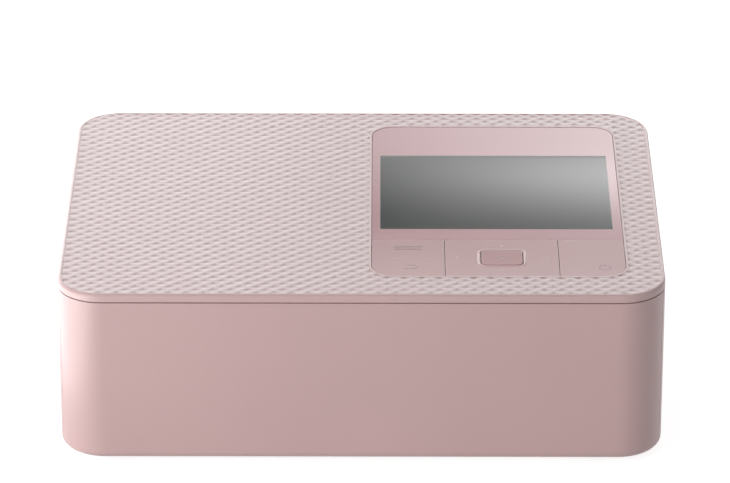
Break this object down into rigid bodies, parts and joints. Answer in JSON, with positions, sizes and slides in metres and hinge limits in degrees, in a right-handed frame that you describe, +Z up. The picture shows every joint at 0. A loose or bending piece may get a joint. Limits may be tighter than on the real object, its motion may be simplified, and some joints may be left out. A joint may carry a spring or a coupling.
{
  "type": "compact photo printer",
  "caption": "Compact desktop photo printer with a relief-patterned lid, a tilted-view display, rocker keys, a fold-down front cover and a side ink door.",
  "frame": {"origin": "on the floor, under the middle of the body", "axes": "+X to the right along the width, +Y to the back, +Z up; the front cover faces -Y"},
  "size_m": [0.1822, 0.133, 0.0576],
  "materials": {
    "pink_case": "fine satin moulded plastic",
    "pink_lid": "satin moulded plastic with a relief of small lozenges",
    "pink_gloss": "glossy tinted plastic",
    "inner_plastic": "matt plastic",
    "dark_plastic": "matt black plastic",
    "grey_plastic": "matt dark grey plastic",
    "white_plastic": "white acetal",
    "rubber_grip": "matt rubber",
    "steel": "plated steel sheet",
    "shaft_steel": "ground and plated",
    "aluminium_fin": "extruded",
    "motor_can": "drawn steel can",
    "brass_gear": "turned",
    "circuit_board": "green solder mask",
    "display_face": "grey display behind a clear sheet",
    "head_ceramic": "glazed ceramic",
    "cable_film": "flat flexible cable"
  },
  "bodies": {
    "root": {"case_shell": "pink_case", "base_plate": "inner_plastic", "top_cover": "pink_lid", "front_frame": "inner_plastic", "rubber_feet": "rubber_grip", "case_screws": "shaft_steel", "display_window": "pink_gloss", "display_module": "display_face", "panel_frame": "inner_plastic", "control_board": "circuit_board", "key_switches": "dark_plastic", "left_side_plate": "steel", "right_side_plate": "steel", "cross_braces": "steel", "cassette_guide": "grey_plastic", "rear_paper_guide": "grey_plastic", "ink_cassette_guide": "grey_plastic", "roller_bushes": "white_plastic", "head_pivot_shaft": "shaft_steel", "head_springs": "shaft_steel", "feed_motor": "motor_can", "drive_bracket": "steel", "ribbon_motor": "motor_can", "fan_frame": "dark_plastic", "main_board": "circuit_board", "board_parts": "dark_plastic", "card_socket": "steel", "usb_socket": "steel", "power_inlet": "dark_plastic", "display_cable": "cable_film"},
    "front_cover": {"front_cover": "pink_case", "front_cover_pins": "shaft_steel"},
    "ink_cover": {"ink_cover": "pink_case", "ink_cover_pins": "shaft_steel"},
    "menu_back_key": {"menu_back_key": "pink_gloss"},
    "nav_actuator": {"nav_actuator": "white_plastic"},
    "nav_key": {"nav_key": "pink_gloss"},
    "ok_key": {"ok_key": "pink_gloss"},
    "power_key": {"power_key": "pink_gloss"},
    "print_head": {"head_arm": "steel", "thermal_head": "head_ceramic", "head_heat_sink": "aluminium_fin"},
    "platen": {"platen_shaft": "shaft_steel", "platen_roller": "rubber_grip"},
    "grip_roller": {"grip_roller": "shaft_steel", "grip_gear": "white_plastic"},
    "pinch_roller": {"pinch_roller": "shaft_steel"},
    "pickup": {"pickup_shaft": "shaft_steel", "pickup_roller": "rubber_grip", "pickup_gear": "white_plastic"},
    "motor_pinion": {"motor_pinion": "brass_gear"},
    "idler_gear": {"idler_gear": "white_plastic"},
    "ribbon_drive_gear": {"ribbon_drive_gear": "white_plastic"},
    "ribbon_pinion": {"ribbon_pinion": "brass_gear"},
    "supply_hub": {"supply_hub": "white_plastic"},
    "fan_rotor": {"fan_rotor": "dark_plastic"},
    "paper_lift_lever": {"paper_lift_lever": "white_plastic"},
    "ink_eject_lever": {"ink_eject_lever": "white_plastic"}
  },
  "joints": [
    {"name": "front_cover_hinge", "type": "hinge", "parent": "root", "child": "front_cover", "pos_m": [0, -0.0625, 0.0063], "axis": [1, 0, 0], "range_deg": [0, 90]},
    {"name": "ink_cover_hinge", "type": "hinge", "parent": "root", "child": "ink_cover", "pos_m": [0.0885, 0.0225, 0.0134], "axis": [0, 1, 0], "range_deg": [0, 85]},
    {"name": "menu_back_rock", "type": "hinge", "parent": "root", "child": "menu_back_key", "pos_m": [0.0141, -0.0406, 0.0559], "axis": [1, 0, 0], "range_deg": [-1.4, 1.4], "stiffness_Nm_per_rad": 0.2},
    {"name": "nav_front_back_rock", "type": "hinge", "parent": "root", "child": "nav_actuator", "pos_m": [0.0424, -0.0406, 0.0559], "axis": [1, 0, 0], "range_deg": [-1.4, 1.4], "stiffness_Nm_per_rad": 0.2},
    {"name": "nav_side_rock", "type": "hinge", "parent": "nav_actuator", "child": "nav_key", "pos_m": [0.0424, -0.0406, 0.0566], "axis": [0, 1, 0], "range_deg": [-1.1, 1.1], "stiffness_Nm_per_rad": 0.3},
    {"name": "ok_press", "type": "slide", "parent": "nav_key", "child": "ok_key", "axis": [0, 0, -1], "range_m": [0, 0.0004], "stiffness_N_per_m": 2000},
    {"name": "power_press", "type": "hinge", "parent": "root", "child": "power_key", "pos_m": [0.0696, -0.0283, 0.0562], "axis": [1, 0, 0], "range_deg": [0, 1.1], "stiffness_Nm_per_rad": 0.3},
    {"name": "head_pivot", "type": "hinge", "parent": "root", "child": "print_head", "pos_m": [0, 0.06, 0.0486], "axis": [1, 0, 0], "range_deg": [0, 15], "stiffness_Nm_per_rad": 0.6, "springref_deg": -17.19},
    {"name": "platen_spin", "type": "hinge", "parent": "root", "child": "platen", "pos_m": [0, 0.026, 0.0125], "axis": [1, 0, 0], "continuous": true},
    {"name": "grip_spin", "type": "hinge", "parent": "root", "child": "grip_roller", "pos_m": [0, 0.013, 0.015], "axis": [1, 0, 0], "continuous": true},
    {"name": "pinch_spin", "type": "hinge", "parent": "root", "child": "pinch_roller", "pos_m": [0, 0.013, 0.02165], "axis": [1, 0, 0], "continuous": true},
    {"name": "pickup_spin", "type": "hinge", "parent": "root", "child": "pickup", "pos_m": [0, -0.0205, 0.032], "axis": [1, 0, 0], "continuous": true},
    {"name": "motor_spin", "type": "hinge", "parent": "root", "child": "motor_pinion", "pos_m": [0, -0.00712, 0.02428], "axis": [1, 0, 0], "continuous": true},
    {"name": "idler_spin", "type": "hinge", "parent": "root", "child": "idler_gear", "pos_m": [0, 0.00618, 0.03343], "axis": [1, 0, 0], "continuous": true},
    {"name": "ribbon_spin", "type": "hinge", "parent": "root", "child": "ribbon_drive_gear", "pos_m": [0, 0.046, 0.034], "axis": [1, 0, 0], "continuous": true},
    {"name": "ribbon_motor_spin", "type": "hinge", "parent": "root", "child": "ribbon_pinion", "pos_m": [0, 0.03318, 0.04298], "axis": [1, 0, 0], "continuous": true},
    {"name": "supply_spin", "type": "hinge", "parent": "root", "child": "supply_hub", "pos_m": [0, 0, 0.034], "axis": [1, 0, 0], "continuous": true},
    {"name": "fan_spin", "type": "hinge", "parent": "root", "child": "fan_rotor", "pos_m": [0, 0.04, 0.0198], "axis": [1, 0, 0], "continuous": true},
    {"name": "paper_lift", "type": "hinge", "parent": "root", "child": "paper_lift_lever", "pos_m": [-0.005, -0.037, 0.0075], "axis": [1, 0, 0], "range_deg": [0, 14]},
    {"name": "ink_eject", "type": "hinge", "parent": "root", "child": "ink_eject_lever", "pos_m": [0.062, 0.026, 0.0252], "axis": [0, -1, 0], "range_deg": [0, 22]}
  ],
  "couplings": [
    {"joint": "pinch_spin", "follows": "grip_spin", "ratio": -1.6},
    {"joint": "idler_spin", "follows": "grip_spin", "ratio": -0.75},
    {"joint": "motor_spin", "follows": "grip_spin", "ratio": 1.7143},
    {"joint": "pickup_spin", "follows": "grip_spin", "ratio": -0.8},
    {"joint": "ribbon_motor_spin", "follows": "ribbon_spin", "ratio": -3.3333}
  ]
}
